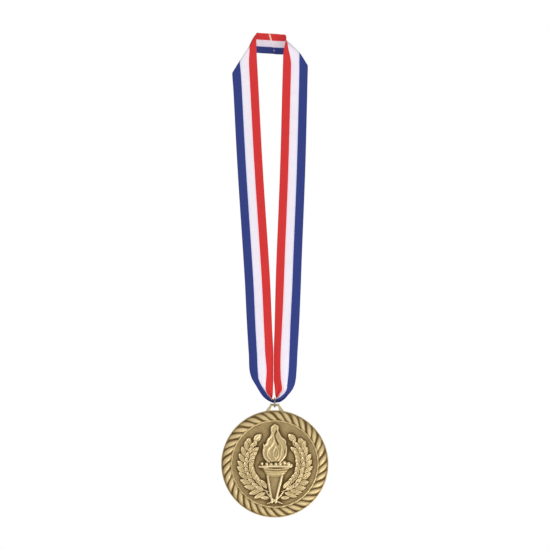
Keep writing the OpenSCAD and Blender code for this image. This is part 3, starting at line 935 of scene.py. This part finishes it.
def ribbon_material():
    """Woven polyester: three stripes, fine ribs across and threads along with painted shade in their
    valleys, and a little sheen.
    """
    n = new_material("ribbon_weave")
    across, along = n.attribute("across"), n.attribute("along")
    place = n.math("ADD", across, n.scaled(n.noise(900.0, 2.0), 0.012, -0.006))
    stripes = n.ramp(place, [
        (BLUE_END - STRIPE_BLUR, BLUE), (BLUE_END + STRIPE_BLUR, linear(226, 224, 248)),
        (0.42, WHITE), (0.58, WHITE),
        (WHITE_END - STRIPE_BLUR, linear(246, 222, 232)), (WHITE_END + STRIPE_BLUR, RED),
    ])
    rib = n.math("SINE", n.math("MULTIPLY", along, 2 * math.pi / RIB_STEP))
    thread = n.math("SINE", n.math("MULTIPLY", across, 2 * math.pi * RIBBON_W / THREAD_STEP))
    weave = n.scaled(rib, 0.7, n.math("MULTIPLY", thread, 0.3))
    # Painted shade: the colour is a little darker where the weave's bump is low, in the ribs' valleys, and
    # lighter on their crests.
    colour = n.multiplied(stripes, n.scaled(weave, 0.035, 0.965))
    colour = n.multiplied(colour, n.scaled(n.noise(130.0), 0.10, 0.95))
    return n.surface(Base_Color=colour, Roughness=n.scaled(n.noise(400.0), 0.15, 0.55),
                     Sheen_Weight=0.12, Sheen_Roughness=0.4, Specular_IOR_Level=0.3,
                     Normal=n.bump(weave, 0.35, 0.00006))


def weld_material():
    """The ribbon's end melted down, in the stripes' colours, with painted highlights on the melted bead: a
    pale patch in the blue and pale salmon over the red.
    """
    n = new_material("melted_edge")
    lumps = n.noise(1500.0)
    place = n.math("ADD", n.attribute("across"), n.scaled(lumps, 0.06, -0.03))
    # Painted highlight colour for a patch inside the blue; the ramp also paints a pale salmon highlight from
    # just past the white over the red.
    painted_highlight_blue = linear(214, 214, 236)
    colour = n.ramp(place, [
        (0.14, BLUE), (0.17, painted_highlight_blue), (0.2, painted_highlight_blue), (0.23, BLUE),
        (BLUE_END - 0.01, BLUE), (BLUE_END + 0.01, WHITE),
        (WHITE_END, WHITE), (WHITE_END + 0.03, linear(246, 200, 180)),
    ])
    return n.surface(Base_Color=colour, Roughness=0.4, Normal=n.bump(lumps, 0.4, 0.0001))


def plate_material(name, bright, mid, dark, rough, toned=False):
    """Antique plate: bright where rubbed, brown and dull in the hollows that the piece's tone gives."""
    n = new_material(name)
    grain = n.noise(2600.0, 4.0)
    cloud = n.noise(110.0)
    tone = n.attribute("tone") if toned else n.math("MULTIPLY", cloud, 0.25)
    tone = n.math("ADD", tone, n.scaled(cloud, 0.24, -0.12))
    tone = n.math("ADD", tone, n.scaled(grain, 0.10, -0.05))
    colour = n.ramp(tone, [(0.0, linear(*bright)), (0.35, linear(*mid)), (0.9, linear(*dark))])
    fine = n.bump(grain, 0.25, 0.00005)
    return n.surface(Base_Color=colour, Metallic=1.0, Roughness=n.scaled(tone, 0.35, rough),
                     Normal=n.bump(n.noise(500.0), 0.2, 0.00015, Normal=fine))


# Painted light: the floor has a weak white emission, so it glows and lights the pieces from below though it
# is no lamp.
def glowing_floor_material():
    n = new_material("pale_glowing_floor")
    return n.surface(Base_Color=n.ramp(n.noise(6.0), [(0.3, grey(0.88)), (0.7, grey(0.92))]),
                     Roughness=0.7, Emission_Color=grey(1.0), Emission_Strength=0.2)


def dress(piece, material, body, replaces):
    """Give a piece its material, hide the CAD parts that it replaces, and attach it to the body it rides on
    unless it blends.
    """
    piece.data.materials.clear()
    piece.data.materials.append(material)
    if body:
        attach(piece, body)
    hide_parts(*replaces)
    return piece


# ---- the pieces
ribbon_cloth = ribbon_material()
# Plating colours, in sRGB: where it is rubbed, between, and in the hollows.
antique_gold = plate_material(
    "antique_gold", (232, 213, 172), (208, 186, 138), (108, 85, 48), rough=0.4, toned=True)
pale_wire = plate_material("pale_wire", (190, 178, 140), (160, 146, 104), (120, 104, 66), rough=0.3)
ring_wire = plate_material("ring_wire", (158, 146, 116), (128, 116, 88), (96, 84, 60), rough=0.35)

left_side, right_side = hang_sides()


def right_cut(across):
    """Where the front layer of the lap is cut, along the right side's ribbon."""
    return right_side.reach(LAP_RIGHT[0] + (LAP_RIGHT[1] - LAP_RIGHT[0]) * across)


def left_cut(across):
    """Where the rear layer of the lap is cut, along the left side's ribbon."""
    return left_side.reach(LAP_LEFT) + 0 * across


def upper_piece(name, side, cut, nodes):
    """One strand with its corner and its half of the band, and its length along the ribbon."""
    surface = upper_surface(side, cut)
    piece = ribbon_piece(name, surface, RIBBON_T)
    dress(piece, ribbon_cloth, None, nodes)
    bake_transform(piece)
    along = surface[2]
    return piece, float(np.mean(along[-1] - along[0]))


upper_left, length_left = upper_piece(
    "ribbon_left", left_side, left_cut, ("ribbon_upper_left", "ribbon_neck_left"))
upper_right, length_right = upper_piece(
    "ribbon_right", right_side, right_cut, ("ribbon_upper_right", "ribbon_neck_right"))

gathered = gathered_surface(left_side, right_side)
height_over_ring = gathered[0][:, GATHER_COLUMNS // 2, 2]
full = smoothstep((height_over_ring - SQUEEZED_TO) / (FULL_FROM - SQUEEZED_TO))
gather = ribbon_piece("ribbon_gather", gathered, SQUEEZED_T + (RIBBON_T - SQUEEZED_T) * full)
dress(gather, ribbon_cloth, None, (
    "ribbon_lower_left", "ribbon_lower_right", "ribbon_gather_left", "ribbon_gather_right", "ribbon_bight"))
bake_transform(gather)


def weld_piece():
    """A thin uneven bead along the slanted, melted end of the front layer."""
    count, facets = 60, 10
    across = np.linspace(0.0, 1.0, count)
    v = (across - 0.5) * RIBBON_W
    u = right_cut(across)
    line = drifted(right_side, u, v, right_side.place(u, v))
    outward = unit(right_side.place(u + 0.5, v) - right_side.place(u, v))
    lift = np.cross(outward, unit(np.gradient(line, axis=0)))
    spread = 0.4 + 0.45 * smoothstep((across - WHITE_END + 0.04) / 0.1)
    spread = spread + 0.25 * np.interp(np.arange(count), np.arange(0, count, 4), rng.random(count // 4))
    ends = np.sqrt(np.clip(np.minimum(across, 1 - across) / 0.02, 0.1, 1))
    turn = np.arange(facets)[:, None] / facets * 2 * math.pi
    outward = outward[:, None] * (spread * ends)[:, None, None]
    lift = lift[:, None] * (WELD_HALF * ends)[:, None, None]
    points = line[:, None] + outward * np.cos(turn) + lift * np.sin(turn)
    faces = quads(count, facets, wrap=True).tolist()
    faces += [list(range(facets))[::-1], list(range((count - 1) * facets, count * facets))]
    piece = make_piece("ribbon_weld", points.reshape(-1, 3), faces, RING, flat_faces=2)
    add_attribute(piece, "across", np.repeat(across, facets))
    return piece


weld = dress(weld_piece(), weld_material(), "upper_ribbon", ("seam_weld",))
dress(medal_casting(), antique_gold, "medal", ("medal_disc", "rope_border"))
dress(medal_relief(), antique_gold, "medal",
      ("torch", "flame", "laurel_left", "laurel_right"))
dress(bevelled_copy("suspension_lug", "medal_lug", 0.35), pale_wire, "medal",
      ("suspension_lug",))
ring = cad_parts["jump_ring"]
ring.data.materials.clear()
ring.data.materials.append(ring_wire)


# ---- floor, light and camera
middle_z = (cad_box[0][2] + cad_box[1][2]) / 2
FLOOR_RADIUS = 0.6
FLOOR_DROP = 0.22
# The direction that counts as behind the medal, and the brightness of the surroundings at shares of
# the way from the front, 0, to there, 1.
BEHIND = (-0.3, 0.87, 0.4)
SURROUNDINGS = ((0.0, 1.05), (0.2, 0.68), (0.5, 0.32), (1.0, 0.5))
# Where the camera looks and how wide its view is there, in metres; its long lens and sensor, in mm.
VIEW_MIDDLE = (0.0002, RING[1] * MM, -0.2265)
VIEW_WIDTH = 0.539
LENS = 400.0
SENSOR = 36.0


def build_floor():
    """A pale round floor, far enough below the medal to clear it in every pose; it glows a little, which
    lights the pieces from below.
    """
    bpy.ops.mesh.primitive_circle_add(vertices=128, radius=FLOOR_RADIUS, fill_type="NGON",
                                      location=(0, 0, cad_box[0][2] - FLOOR_DROP))
    floor = bpy.context.object
    floor.name = "floor"
    floor.data.materials.append(glowing_floor_material())


def build_world():
    """White to the camera; to the metal, bright in front, dim at the sides and middling behind."""
    world = bpy.data.worlds.new("studio")
    bpy.context.scene.world = world
    n = Nodes(world)
    n.tree.nodes.clear()
    direction = n.add("ShaderNodeTexCoord", {}).outputs["Generated"]
    facing = n.add("ShaderNodeVectorMath", {0: direction, 1: BEHIND}, operation="DOT_PRODUCT")
    level = n.ramp(n.scaled(facing.outputs["Value"], 0.5, 0.5),
                   [(position, grey(value)) for position, value in SURROUNDINGS])
    lit = n.add("ShaderNodeBackground", {"Color": level}).outputs[0]
    seen = n.add("ShaderNodeBackground", {"Color": grey(1.0)}).outputs[0]
    by_camera = n.add("ShaderNodeLightPath", {}).outputs["Is Camera Ray"]
    both = n.add("ShaderNodeMixShader", {0: by_camera, 1: lit, 2: seen}).outputs[0]
    n.add("ShaderNodeOutputWorld", {"Surface": both})


def add_light(name, place, size, power, target=(0, 0, middle_z)):
    data = bpy.data.lights.new(name, "AREA")
    data.size = size
    data.energy = power
    light = add_object(name, data)
    light.location = place
    x, y, z = np.array(target) - np.array(place)
    light.rotation_euler = (math.atan2(math.hypot(x, y), -z), 0, math.atan2(y, x) - math.pi / 2)


def build_camera():
    data = bpy.data.cameras.new("camera")
    data.lens = LENS
    data.sensor_width = SENSOR
    camera = add_object("camera", data)
    distance = VIEW_WIDTH * LENS / SENSOR
    camera.location = (VIEW_MIDDLE[0], VIEW_MIDDLE[1] - distance, VIEW_MIDDLE[2])
    camera.rotation_euler = (math.pi / 2, 0, 0)
    bpy.context.scene.camera = camera


build_floor()
build_world()
add_light("key", (0.2, -0.3, -0.62), 0.2, 0.65, (0, 0, MEDAL[2] * MM))
add_light("fill", (-0.9, -0.8, 0.1), 0.5, 2.2)
add_light("back", (0.6, 1.3, 0.0), 0.8, 6.0)
add_light("top", (0.3, -0.65, 0.25), 0.5, 1.3)
build_camera()
bpy.context.scene.view_settings.view_transform = "Standard"
